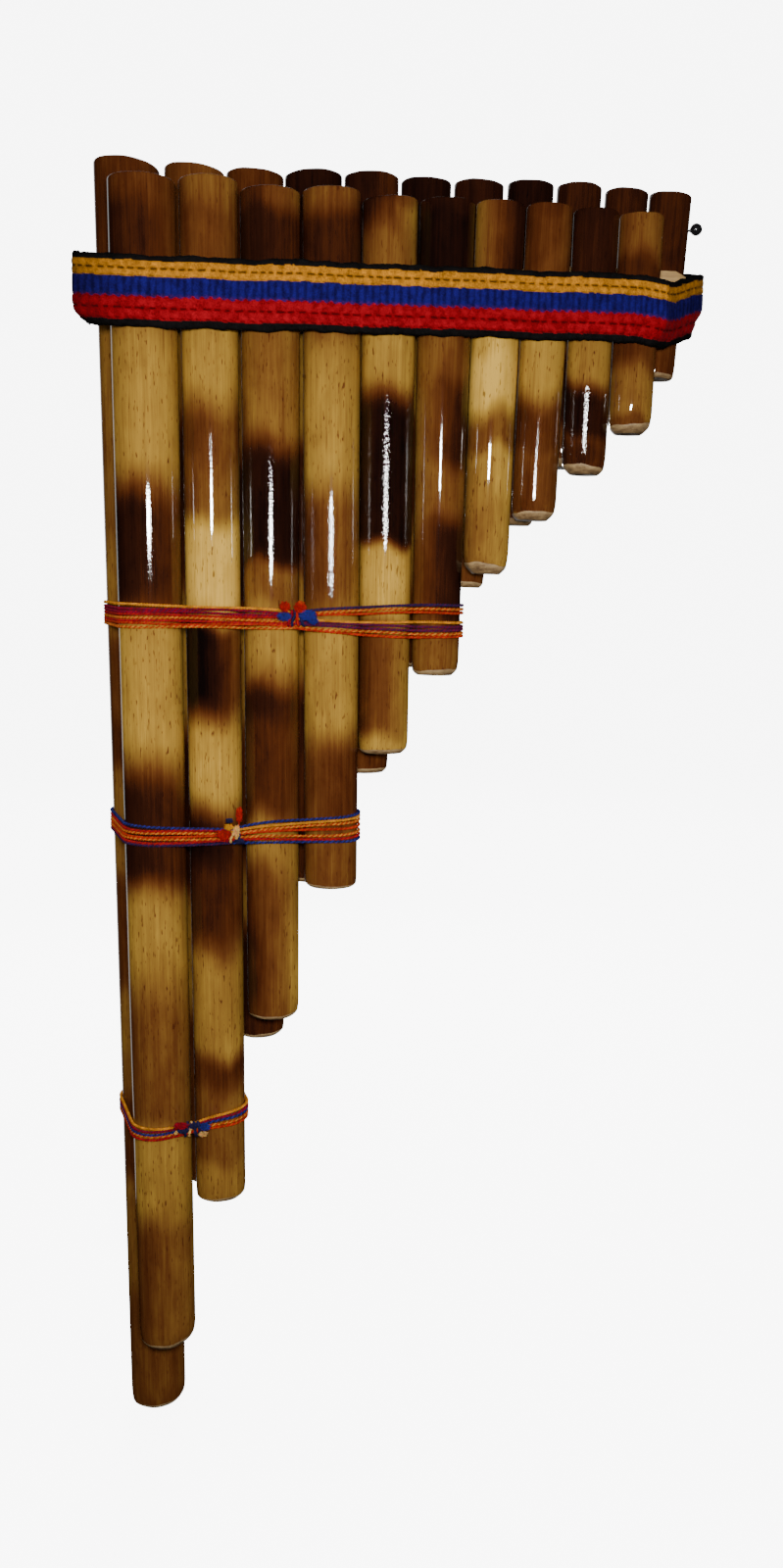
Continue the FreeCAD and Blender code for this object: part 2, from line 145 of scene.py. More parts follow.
# Colour of the skin from straw to black, linear.
SKIN = (
    (0.0, (0.64, 0.385, 0.07)), (0.15, (0.41, 0.232, 0.036)), (0.3, (0.262, 0.138, 0.0235)),
    (0.43, (0.178, 0.079, 0.016)), (0.55, (0.116, 0.0385, 0.0097)), (0.68, (0.068, 0.0175, 0.0052)),
    (0.82, (0.027, 0.0072, 0.0033)), (1.0, (0.0042, 0.002, 0.0017)),
)

# Colours of the band, and the lower end of each stripe as a share of its height.
BLACK = (0.0052, 0.0046, 0.0046)
YELLOW = (0.49, 0.19, 0.012)
BLUE = (0.0105, 0.005, 0.11)
RED = (0.285, 0.0034, 0.009)
EDGE_END, YELLOW_END, BLUE_END, RED_END = 0.075, 0.298, 0.575, 0.9
STRIPES = ((EDGE_END, BLACK), (YELLOW_END, YELLOW), (BLUE_END, BLUE), (RED_END, RED), (1.0, BLACK))
# The yellow and the red stripe are two chains of stitches each, which meet here.
YELLOW_SPLIT, RED_SPLIT = 0.186, 0.737
# Red fibres on the blue next to the red.
FUZZ = (0.07, 0.008, 0.09)
# Points round the band, its rows, and how near a point lies to its level in the CAD's mesh, in metres.
BAND_AROUND, BAND_ROWS = 1000, 84
LEVEL_NEAR = 5e-4
# Half the length of the sewn lap, in mm.
LAP_HALF = 12.0
# How much higher the cloth lies than its plain solid, how far the front and rear corners of its right end
# are pulled in and out, how far the front one hangs, and the cloth's thickness, in mm.
BAND_LIFT = 0.4
CORNER_IN = 3.0
CORNER_OUT = 2.5
CORNER_DIP = 2.5
CLOTH_THICK = 1.45

# Colours of the cords, linear.
CREAM = (0.74, 0.4, 0.11)
AMBER = (0.58, 0.2, 0.022)
GOLD = (0.64, 0.25, 0.008)
ORANGE = (0.46, 0.048, 0.006)
SCARLET = (0.4, 0.012, 0.006)
CRIMSON = (0.27, 0.003, 0.012)
MAGENTA = (0.14, 0.003, 0.03)
PURPLE = (0.06, 0.007, 0.05)
NAVY = (0.014, 0.011, 0.06)
ROYAL = (0.018, 0.022, 0.22)

# Colours of a cord's two plies.
SUN, FLAME, EMBER = (GOLD, AMBER), (AMBER, ORANGE), (SCARLET, ORANGE)
BLOOD, WINE, NIGHT = (SCARLET, CRIMSON), (CRIMSON, MAGENTA), (NAVY, ROYAL)
# Lashings: knot's x and height; strands, each: height at its left end, at the knot and at its right end,
# and the colours of its two plies left of the knot and right of it. Heights are in mm from the knot's.
LASHINGS = {
    "lashing_upper": ((-36.8, 295.2), (
        (3.7, 1.7, 4.6, SUN, (NAVY, PURPLE)), (2.6, 1.0, 3.3, (MAGENTA, CRIMSON), FLAME),
        (1.6, 0.3, 2.2, WINE, EMBER), (0.6, -0.4, -1.2, BLOOD, SUN),
        (-0.4, -1.1, -2.4, FLAME, (PURPLE, MAGENTA)), (-1.4, -1.8, -3.6, BLOOD, (MAGENTA, PURPLE)),
        (-2.3, -2.5, -4.9, (ORANGE, SCARLET), FLAME), (-3.3, -3.2, -6.0, FLAME, EMBER))),
    "lashing_middle": ((-58.0, 223.4), (
        (2.7, 1.5, 5.3, (ROYAL, NAVY), NIGHT), (1.5, 0.8, 4.1, (CRIMSON, SCARLET), SUN),
        (0.4, 0.1, 2.8, FLAME, FLAME), (-0.7, -0.6, 1.4, EMBER, EMBER),
        (-1.7, -1.3, -0.9, FLAME, FLAME), (-2.8, -2.0, -2.1, BLOOD, BLOOD),
        (-3.8, -2.7, -3.4, (PURPLE, NAVY), (ROYAL, NAVY)))),
    "lashing_lower": ((-71.3, 121.0), (
        (-0.9, 1.4, 4.5, SUN, SUN), (-2.0, 0.6, 3.4, WINE, WINE),
        (-3.1, -0.2, 2.3, NIGHT, NIGHT), (-4.2, -1.0, 1.1, FLAME, FLAME),
        (-5.4, -1.8, -0.1, BLOOD, EMBER))),
}


# ---- meshes and materials

def build(name, points, faces, materials, slots=None, attributes=()):
    """An object of points in metres. slots gives each face's material, attributes are (name, kind, array)."""
    mesh = bpy.data.meshes.new(name)
    mesh.from_pydata(np.asarray(points, float).tolist(), [], faces)
    for material in materials:
        mesh.materials.append(material)
    if slots is not None:
        mesh.polygons.foreach_set("material_index", np.asarray(slots, np.int32))
    mesh.polygons.foreach_set("use_smooth", np.ones(len(mesh.polygons), bool))
    for label, kind, values in attributes:
        layer = mesh.attributes.new(label, kind, "POINT")
        key = {"FLOAT": "value", "FLOAT_VECTOR": "vector", "FLOAT_COLOR": "color"}[kind]
        layer.data.foreach_set(key, np.asarray(values, np.float32).ravel())
    mesh.update()
    thing = bpy.data.objects.new(name, mesh)
    link(thing)
    return thing


def join(name, parts, material):
    """One object of several dyed parts, each its points in metres, their dyes and its faces."""
    points, dyes, faces, start = [], [], [], 0
    for p, d, f in parts:
        points.append(p)
        dyes.append(d)
        faces += [tuple(v + start for v in face) for face in f]
        start += len(p)
    dye = ("dye", "FLOAT_COLOR", np.vstack(dyes))
    return build(name, np.vstack(points), faces, (material,), attributes=(dye,))


def ring_faces(rings, around, closed=False):
    """Quads between rings of points laid out one after another. closed joins the last ring to the first."""
    faces = []
    for ring in range(rings if closed else rings - 1):
        a = ring * around
        b = ((ring + 1) % rings) * around
        for i in range(around):
            j = (i + 1) % around
            faces.append((a + i, a + j, b + j, b + i))
    return faces


def capped(rings, around):
    """Faces of a tube of rings with both ends closed."""
    last = (rings - 1) * around
    return ring_faces(rings, around) + [tuple(range(around - 1, -1, -1)), tuple(last + k for k in range(around))]


def smooth(x):
    """0 up to 0 and 1 from 1 on, eased between them."""
    x = np.clip(x, 0.0, 1.0)
    return x * x * (3.0 - 2.0 * x)


def node_points(name):
    """Vertices of a CAD piece, in metres."""
    mesh = NODES[name].data
    points = np.empty(len(mesh.vertices) * 3, np.float32)
    mesh.vertices.foreach_get("co", points)
    return points.reshape(-1, 3).astype(float)


class Shader:
    """A material's node tree, written as an expression."""

    def __init__(self, name, **settings):
        self.material = bpy.data.materials.new(name)
        self.material.use_nodes = True
        self.tree = self.material.node_tree
        self.surface = self.tree.nodes["Principled BSDF"]
        for key, value in settings.items():
            self.surface.inputs[key.replace("_", " ")].default_value = value

    def put(self, socket, value):
        if hasattr(value, "is_output"):
            self.tree.links.new(value, socket)
        else:
            socket.default_value = value

    def paint(self, value, stops):
        """The surface's own colour, from a ramp with stops of (value, colour)."""
        made = self.tree.nodes.new("ShaderNodeValToRGB")
        self.put(made.inputs[0], value)
        elements = made.color_ramp.elements
        while len(elements) < len(stops):
            elements.new(0.5)
        for element, (place, colour) in zip(elements, stops):
            element.position = place
            element.color = (*colour, 1.0)
        self.put(self.surface.inputs["Base Color"], made.outputs[0])

    def add(self, kind, values=(), out=0, **settings):
        made = self.tree.nodes.new("ShaderNode" + kind)
        for key, value in settings.items():
            setattr(made, key, value)
        for socket, value in values:
            self.put(made.inputs[socket], value)
        return made.outputs[out]

    def math(self, operation, a, b=0.0):
        return self.add("Math", ((0, a), (1, b)), operation=operation)

    def times(self, a, b):
        return self.math("MULTIPLY", a, b)

    def attribute(self, name, out):
        return self.add("Attribute", out=out, attribute_name=name)

    def noise(self, vector, scale, detail=2.0, roughness=0.5, distortion=0.0):
        """Noise with a scale of its own along each axis of the vector."""
        scaled = self.add("VectorMath", ((0, vector), (1, scale)), operation="MULTIPLY")
        return self.add("TexNoise", (
            ("Vector", scaled), ("Scale", 1.0), ("Detail", detail), ("Roughness", roughness),
            ("Distortion", distortion)))

    def spread(self, value, low, high, to_low, to_high):
        """value from low..high brought to to_low..to_high, and held there."""
        return self.add("MapRange", (
            ("Value", value), ("From Min", low), ("From Max", high), ("To Min", to_low), ("To Max", to_high)),
            interpolation_type="SMOOTHSTEP")

    def swing(self, value, amount):
        """A noise's swing about its middle, scaled."""
        return self.times(self.math("SUBTRACT", value, 0.5), amount)

    def total(self, *values):
        result = values[0]
        for value in values[1:]:
            result = self.math("ADD", result, value)
        return result

    def dye(self, colour, shade):
        """The surface's own colour: a colour darkened by a grey."""
        grey = self.add("CombineColor", ((0, shade), (1, shade), (2, shade)))
        dyed = self.add("Mix", ((0, 1.0), (6, colour), (7, grey)), 2, data_type="RGBA", blend_type="MULTIPLY")
        self.put(self.surface.inputs["Base Color"], dyed)

    def bump(self, height, distance, *sockets):
        normal = self.add("Bump", (("Strength", 1.0), ("Distance", distance), ("Height", height)))
        for socket in sockets:
            self.put(self.surface.inputs[socket], normal)


# Heights of a bump of 1, in metres.
PIPE_BUMP = 0.00006
RIM_BUMP = 0.00008
CANE_BUMP = 0.0001
YARN_BUMP = 0.00022


def bamboo_skin():
    """Scorched bamboo under clear lacquer: char sets its colour, blister its grit, lacquer the coat's lie."""
    made = Shader("scorched_bamboo", Roughness=0.5, Specular_IOR_Level=0.0, Coat_Weight=1.0, Coat_Roughness=0.03,
                  Coat_IOR=1.5)
    grain = made.attribute("grain", 1)
    char = made.attribute("char", 2)
    blister = made.attribute("blister", 2)
    fibre = made.noise(grain, (1.1, 1.1, 0.03), 4.0, 0.65)
    hair = made.noise(grain, (3.2, 3.2, 0.06), 2.0, 0.6)
    vein = made.noise(grain, (0.42, 0.42, 0.012), 2.0, 0.5)
    blotch = made.noise(grain, (0.16, 0.16, 0.07), 3.0, 0.55, 0.4)
    fleck = made.noise(grain, (1.7, 1.7, 0.3), 1.0)
    crack = made.noise(grain, (0.8, 0.8, 0.012), 1.0)
    pale = made.spread(char, 0.25, 0.65, 1.0, 0.15)
    uneven = made.total(made.swing(fibre, 0.25), made.swing(hair, 0.16), made.swing(vein, 0.19),
                        made.swing(blotch, 0.26))
    split = made.math("ABSOLUTE", made.math("SUBTRACT", crack, 0.5))
    tone = made.total(
        char,
        made.times(uneven, made.spread(char, 0.75, 1.0, 1.0, 0.55)),
        made.times(made.spread(fleck, 0.655, 0.72, 0.0, 0.3), pale),
        made.times(made.spread(split, 0.0, 0.012, 0.12, 0.0), pale))
    made.paint(tone, SKIN)
    ridge = made.noise(grain, (0.55, 0.55, 0.006), 2.0, 0.55)
    fine = made.noise(grain, (2.2, 2.2, 0.12), 2.0, 0.6)
    grit = made.noise(grain, (1.5, 1.5, 1.2), 2.0, 0.6)
    height = made.total(made.times(ridge, 0.8), made.times(fine, 0.08),
                        made.times(grit, blister))
    made.bump(height, PIPE_BUMP, "Normal")
    made.bump(made.total(height, made.attribute("lacquer", 2)), PIPE_BUMP, "Coat Normal")
    return made.material


def cut_cane():
    """A foot's sanded end grain, paler where "cut" is higher."""
    made = Shader("bare_cane", Roughness=0.6, Coat_Weight=0.35, Coat_Roughness=0.25)
    grain = made.attribute("grain", 1)
    rings = made.noise(grain, (0.35, 0.35, 1.1), 3.0, 0.6)
    pores = made.noise(grain, (2.6, 2.6, 2.0), 2.0, 0.6)
    tone = made.total(made.times(rings, 0.75), made.times(pores, 0.25),
                      made.times(made.attribute("cut", 2), 0.3))
    made.paint(tone, ((0.38, (0.045, 0.021, 0.008)), (0.6, (0.155, 0.088, 0.034)), (0.86, (0.36, 0.235, 0.105))))
    made.bump(pores, PIPE_BUMP, "Normal")
    return made.material


def mouth_rim():
    """The lacquered end grain round a mouth."""
    made = Shader("lacquered_rim", Roughness=0.5, Coat_Weight=0.6, Coat_Roughness=0.12)
    grain = made.attribute("grain", 1)
    pores = made.noise(grain, (2.2, 2.2, 0.6), 3.0, 0.6)
    made.paint(pores, ((0.3, (0.045, 0.018, 0.007)), (0.5, (0.13, 0.058, 0.018)), (0.75, (0.25, 0.14, 0.05))))
    made.bump(pores, RIM_BUMP, "Normal", "Coat Normal")
    return made.material


def bore_wall():
    """The bare inside of a pipe."""
    made = Shader("bore_wall", Roughness=0.8)
    grain = made.attribute("grain", 1)
    fibre = made.noise(grain, (1.3, 1.3, 0.05), 3.0, 0.6)
    made.paint(fibre, ((0.3, (0.1, 0.06, 0.025)), (0.7, (0.3, 0.2, 0.1))))
    return made.material


def plain_cane():
    """The splints' split cane."""
    made = Shader("cane", Roughness=0.5, Coat_Weight=0.3, Coat_Roughness=0.2)
    place = made.add("TexCoord", out=3)
    fibre = made.noise(place, (60.0, 900.0, 900.0), 4.0, 0.6)
    made.paint(fibre, ((0.3, (0.22, 0.12, 0.04)), (0.5, (0.42, 0.26, 0.1)), (0.75, (0.56, 0.38, 0.17))))
    made.bump(fibre, CANE_BUMP, "Normal")
    return made.material


def yarn(name, gloss):
    """Spun fibre that takes its colour from the mesh."""
    made = Shader(name, Roughness=0.8, Specular_IOR_Level=gloss)
    place = made.add("TexCoord", out=3)
    fluff = made.noise(place, (2600.0, 2600.0, 2600.0), 3.0, 0.7)
    patch = made.noise(place, (420.0, 420.0, 420.0), 2.0, 0.5)
    shade = made.total(made.spread(fluff, 0.25, 0.75, 0.25, 0.95), made.spread(patch, 0.3, 0.7, 0.0, 0.4))
    made.dye(made.attribute("dye", 0), shade)
    made.bump(fluff, YARN_BUMP, "Normal")
    return made.material


SKIN_MATERIAL = bamboo_skin()
CUT_MATERIAL = cut_cane()
RIM_MATERIAL = mouth_rim()
BORE_MATERIAL = bore_wall()
CANE_MATERIAL = plain_cane()
FABRIC_MATERIAL = yarn("woven_fabric", 0.04)
CORD_MATERIAL = yarn("lashing_cord", 0.12)


# ---- pipes

# Points round a pipe, and the distance between its rings in mm.
AROUND = 72
STEP = 1.6
# Radius of a mouth's rounded lip, and the length over which a slanted cut fades into the pipe, in mm.
LIP_ROUND = 0.7
CUT_FADE = 10.0
# A burn's fades are this much longer than its table says.
FADE_STRETCH = 1.7
# Kinds of a pipe's surface, in the order of its materials.
ON_SKIN, ON_CUT, ON_BORE, ON_RIM = range(4)


def read_pipe(node):
    """The pipe's axis, radii and lengths from its bore mount and its CAD mesh, in mm."""
    mount = MOUNTS[node.replace("pipe", "mouth")]
    up = np.array(mount["axis"])
    up /= np.linalg.norm(up)
    start = np.array(mount["pos_m"])
    points = node_points(node)
    down = (start - points) @ up
    out = np.linalg.norm(points - start + down[:, None] * up, axis=1)
    lift = -down.min()
    length = (down.max() + lift) / MM
    below = (down + lift) / MM
    rise = MOUTH_RISE[node[5:-3]] * MM
    return {
        "mouth": start + up * (lift + rise), "up": up, "side": np.array([up[2], 0.0, -up[0]]),
        "length": length + rise / MM, "depth": mount["dims"]["length_mm"] + (lift + rise) / MM,
        "mouth_r": out[below < 3.0].max() / MM, "foot_r": out[below > length - 4.0].max() / MM,
        "bore_r": mount["dims"]["r_mm"],
    }


def burnt(node, depth, angle, chance):
    """The skin's tone at each depth below the mouth (mm) and angle (radians)."""
    row = FRONT_BURNS if "front" in node else BACK_BURNS
    base, burns = row[int(node[-2:])]
    waves = [(chance.uniform(-1.6, 1.6), k, chance.uniform(0, 6.3)) for k in (1, 2, 3, 5)]
    shifted = depth + sum(a * np.sin(k * angle + p) for a, k, p in waves)
    tone = np.full(depth.shape, base)
    tone += 0.05 * np.sin(depth / chance.uniform(13, 22) + chance.uniform(0, 6.3))
    for start, end, above, below, burn, *stronger in burns:
        extra, side = stronger or (0.0, 0.0)
        above, below = above * FADE_STRETCH, below * FADE_STRETCH
        cover = smooth((shifted - start + above * 0.8) / above) * smooth((end + below * 0.8 - shifted) / below)
        level = burn + extra * np.cos(angle - math.radians(side)) - abs(extra) * 0.3
        tone += (level - tone) * cover
    return np.clip(tone, 0.0, 1.0)


def make_pipe(node, number):
    """A pipe, from the middle of its foot up its skin and over its lip to the floor of its bore. In mm."""
    pipe = read_pipe(node)
    label = node[5:]
    chance = random.Random(node)
    angle = np.arange(AROUND) * 2.0 * math.pi / AROUND
    length, wall = pipe["length"], pipe["mouth_r"] - pipe["bore_r"]

    def ripple(slow, fast):
        """Heights of three slow and seven fast waves round the pipe."""
        return slow * np.sin(3 * angle + chance.uniform(0, 6)) + fast * np.sin(7 * angle + chance.uniform(0, 6))

    cut, cut_side = SLANTED_MOUTHS.get(label, (chance.uniform(0.05, 0.25), chance.uniform(-180, 180)))
    lip = cut * (1.0 - np.cos(angle - math.radians(cut_side))) / 2.0
    lip = cut - lip + ripple(0.06, 0.04)
    lip = lip - lip.min()
    oval, turn = chance.uniform(0.003, 0.01), chance.uniform(0, 3)
    swell, wave, phase = chance.uniform(0.04, 0.12), chance.uniform(22, 50), chance.uniform(0, 6)
    bevel = FOOT_BEVELS[label[:-3]][int(label[-2:]) - 1]
    lean = math.radians(FOOT_LEANS.get(label, chance.uniform(-180, 180)))
    lean_share = 0.34 if label in FOOT_LEANS else 0.14
    cut_high = bevel * (0.6 + lean_share * np.cos(angle - lean) + ripple(0.05, 0.03))

    def outside(t):
        """Radius all round at depth t."""
        r = pipe["mouth_r"] + (pipe["foot_r"] - pipe["mouth_r"]) * t / length
        waist = swell * (1.0 + np.sin(t / wave + phase)) / 2.0
        return r * (1.0 + oval * (np.cos(2.0 * (angle - turn)) - 0.6)) - waist

    # Radius, depth, kind of surface, and how pale a sanded cut is, of each ring of points.
    rings = []

    def ring(radius, depth, kind, pale=0.0):
        rings.append([value + np.zeros(AROUND) for value in (radius, depth, kind, pale)])

    eased = 0.12 * bevel
    edge = outside(length) - eased
    inset = 0.85 * cut_high
    for share in (0.0, 0.3, 0.6, 0.85):
        ring((edge - inset) * share, length - 0.5 * (1.0 - share), ON_CUT, 0.15)
    for share in (0.0, 0.12, 0.28, 0.45, 0.65, 0.85, 1.0):
        ring(edge - inset * (1.0 - share) ** 1.5, length - cut_high * share, ON_CUT, 0.2 + 0.8 * share)
    top = bevel * 1.5 + 2.5
    for share in (0.03, 0.12, 0.25, 0.45, 0.7, 1.0):
        high = cut_high + (top - cut_high) * share
        ring(outside(length - high) - eased * (1.0 - share) ** 2.5, length - high, ON_SKIN)
    depth = length - top - STEP
    steps = int((depth - 1.0) / STEP)
    for k in range(steps + 1):
        t = depth + (1.0 - depth) * k / steps
        ring(outside(t), t + lip * math.exp(-t / CUT_FADE), ON_SKIN)
    for a in np.radians((20, 45, 70, 90)):
        ring(outside(0.0) - LIP_ROUND * (1.0 - math.cos(a)), lip + LIP_ROUND * (1.0 - math.sin(a)), ON_SKIN)
    bore = pipe["bore_r"]
    ring(bore + (wall - LIP_ROUND) * 0.5, lip, ON_RIM)
    ring(bore + 0.3, lip + 0.05, ON_RIM)
    ring(bore, lip + 0.5, ON_RIM)
    t = 3.0
    while t < pipe["depth"] - 2.0:
        ring(bore, lip * math.exp(-t / CUT_FADE) + t, ON_BORE)
        t *= 1.8
    for share in (1.0, 0.97, 0.6, 0.0):
        ring(bore * share, pipe["depth"] - (0.8 if share == 1.0 else 0.0), ON_BORE)

    radius, below, kind, cut = np.moveaxis(np.array(rings), 1, 0)
    bow = chance.uniform(-1, 1) * min(0.35, length / 900.0)
    bend = bow * np.sin(math.pi * np.clip(below / length, 0, 1))
    across = radius * np.sin(angle) + bend
    front = radius * np.cos(angle)
    points = (pipe["mouth"] - below[..., None] * MM * pipe["up"] + across[..., None] * MM * pipe["side"]
              + front[..., None] * MM * np.array([0.0, -1.0, 0.0]))
    char = burnt(node, below, np.broadcast_to(angle, below.shape), chance)
    grain = np.stack([across, front, below + 700.0 * number], -1)
    thinning, bulge, middle = LACQUER.get(label, (0.0, 0.0, 0.0))
    lacquer = -(below * thinning + bulge * (below - middle) ** 2 / 2.0) * MM / PIPE_BUMP
    blister = BLISTERS.get(label, PLAIN_BLISTER) * smooth((char - 0.42) / 0.3) * smooth((below - 38.0) / 8.0)
    slots = np.maximum(kind[:-1], kind[1:]).ravel()
    return build(node + "_bamboo", points.reshape(-1, 3), ring_faces(len(rings), AROUND),
                 (SKIN_MATERIAL, CUT_MATERIAL, BORE_MATERIAL, RIM_MATERIAL), slots,
                 attributes=(("char", "FLOAT", char), ("grain", "FLOAT_VECTOR", grain), ("cut", "FLOAT", cut),
                             ("blister", "FLOAT", 0.03 + blister), ("lacquer", "FLOAT", lacquer)))


for number, node in enumerate(sorted(name for name in NODES if name.startswith("pipe_"))):
    bamboo = make_pipe(node, number)
    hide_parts(node)
    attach(bamboo, "root")


# ---- loops: band and lashings

def hull(points):
    """Convex outline of 2-D points, counter-clockwise."""
    ordered = sorted(map(tuple, np.round(points, 6)))
    chains = []
    for run in (ordered, ordered[::-1]):
        chain = []
        for p in run:
            while len(chain) > 1 and ((chain[-1][0] - chain[-2][0]) * (p[1] - chain[-2][1])
                                      - (chain[-1][1] - chain[-2][1]) * (p[0] - chain[-2][0])) <= 0:
                chain.pop()
            chain.append(p)
        chains.append(chain[:-1])
    return np.array(chains[0] + chains[1])


def along(points, count):
    """A closed outline resampled evenly, from the middle of its rear side, with its outward normals."""
    loop = np.vstack([points, points[:1]])
    steps = np.linalg.norm(np.diff(loop, axis=0), axis=1)
    far = np.append(0.0, np.cumsum(steps))
    middle = (points[:, 0].min() + points[:, 0].max()) / 2.0
    fine = np.linspace(0.0, far[-1], 4000, endpoint=False)
    xs = np.interp(fine, far, loop[:, 0])
    ys = np.interp(fine, far, loop[:, 1])
    behind = np.where(ys > points[:, 1].mean(), np.abs(xs - middle), 9.0)
    start = fine[int(np.argmin(behind))]
    places = (start + np.arange(count) * far[-1] / count) % far[-1]
    ring = np.stack([np.interp(places, far, loop[:, 0]), np.interp(places, far, loop[:, 1])], -1)
    for _ in range(3):
        ring = (np.roll(ring, 1, 0) + 2.0 * ring + np.roll(ring, -1, 0)) / 4.0
    ahead = np.roll(ring, -1, 0) - np.roll(ring, 1, 0)
    ahead /= np.linalg.norm(ahead, axis=1)[:, None]
    return ring, np.stack([ahead[:, 1], -ahead[:, 0]], -1), far[-1]


def rearward(y):
    """0 on the band's front and 1 on its rear, eased round its ends. y in mm."""
    return smooth((y + 16.0) / 22.0)


def right_end(x):
    """0 along the band and 1 at its right end. x in mm."""
    return smooth((x - 70.0) / 24.0)


def spread_end(points):
    """Points of the band or a splint with the right end pulled askew: its front in, its rear out."""
    behind = rearward(points[:, 1] / MM)
    moved = np.array(points)
    moved[:, 0] += (CORNER_OUT * behind - CORNER_IN * (1.0 - behind)) * right_end(points[:, 0] / MM) * MM
    return moved


def band_tilt(points):
    """Slope of the band's flat top edge, from its front and rear."""
    front = points[points[:, 1] < points[:, 1].min() + 2 * MM]
    rear = points[points[:, 1] > points[:, 1].max() - 2 * MM]
    a = front[np.argmax(front[:, 2])]
    b = rear[np.argmax(rear[:, 2])]
    return math.atan2(b[2] - a[2], b[1] - a[1])


def rounded(v, start, end):
    """The bulge of a cord lying between two heights."""
    x = (v - start) / (end - start) * 2.0 - 1.0
    return math.sqrt(max(0.0, 1.0 - x * x))


def line(v, height, half):
    """1 at a height and fading away from it."""
    return np.exp(-((v - height) / half) ** 2)


def weave_row(v, place, slow):
    """A row of the weave at a share of the band's height: its colour, with painted shade in its creases, and its
    relief in mm at each place.
    """

    def turns(pitch, phase=0.0):
        """A wave along the band, shifted with the weave."""
        return np.cos(TURN * place / pitch + phase + slow)

    def beads(pitch, phase):
        """The stitches of a chain, one every pitch."""
        return np.abs(np.cos(math.pi * place / pitch + phase + 0.5 * slow))

    wander = v + 0.006 * slow + 0.004 * np.sin(place / 3.1)
    shade = np.zeros((len(place), 3))
    previous = 0.0
    for end, colour in STRIPES:
        edge = previous + 0.004 * np.sin(place / 1.35 + 9 * previous) if previous else np.full(len(place), -1.0)
        if colour is RED:
            edge = edge + 0.016 * np.cos(place * 2 * math.pi / 2.7) + 0.006 * slow
        shade = np.where((wander >= edge)[:, None], np.array(colour), shade)
        previous = end
    if v < EDGE_END:
        relief = 0.3 * rounded(v, -0.02, 0.085) * (1.0 + 0.35 * np.sin(place / 0.9 + 2 * slow)) + 0.05 * slow
    elif v < YELLOW_END:
        half = 0 if v < YELLOW_SPLIT else 1
        round_v = rounded(v, *((0.072, 0.186), (0.186, 0.3))[half])
        bead = beads(3.0, 1.6 * half)
        gap = line(v, YELLOW_SPLIT, 0.017) * (turns(3.1) > -0.45)
        foot = 0.7 * line(v, 0.288, 0.011) * (turns(2.9, 1) > -0.1)
        # Each cord is darker towards its edges and between its stitches, and the gap between the two chains is
        # nearly black: painted shade in the weave's creases. The dark dashes near the stripe's foot are dark
        # stitches.
        shade = shade * (0.6 + 0.52 * math.sqrt(round_v) * (0.4 + 0.6 * bead ** 0.6))[:, None]
        shade = shade * ((1.0 - 0.9 * gap) * (1.0 - 0.6 * foot))[:, None]
        relief = 0.42 * round_v * (0.55 + 0.45 * bead ** 0.7) - 0.1 * gap
    elif v < BLUE_END:
        rib = np.cos(TURN * place / 2.35 + 0.8 * slow + 3 * v)
        # The grooves between the blue ribs are darker: painted shade.
        shade = shade * (0.62 + 0.5 * (rib > -0.3))[:, None]
        fuzz = np.clip((v - 0.525) / 0.05, 0, 1) * (0.5 + 0.5 * np.cos(TURN * place / 2.7))
        shade = shade + (np.array(FUZZ) - shade) * (0.7 * fuzz)[:, None]
        relief = 0.3 * rounded(v, 0.29, 0.585) ** 0.5 + 0.1 * rib
    elif v < RED_END:
        half = 0 if v < RED_SPLIT else 1
        round_v = rounded(v, *((0.572, 0.739), (0.734, 0.904))[half])
        bead = beads(2.9, 1.4 * half)
        gap = line(v, RED_SPLIT, 0.015) * (turns(3.4, 2) > -0.35)
        foot = 0.8 * line(v, 0.883, 0.013) * (turns(2.8) > 0.1)
        # As in the yellow, each cord is darker towards its edges, between its stitches and in the gap between
        # the chains: painted shade. The dark dashes near the stripe's foot are dark stitches.
        shade = shade * (0.62 + 0.48 * math.sqrt(round_v) * (0.45 + 0.55 * bead ** 0.6))[:, None]
        shade = shade * (1.0 - 0.8 * np.maximum(gap, foot))[:, None]
        relief = 0.45 * round_v * (0.62 + 0.38 * bead ** 0.8) - 0.1 * gap
    else:
        relief = 0.46 * rounded(v, 0.894, 1.01) * (1.0 + 0.3 * np.sin(place / 0.75 + 3 * slow)) + 0.07 * slow
    return shade, relief


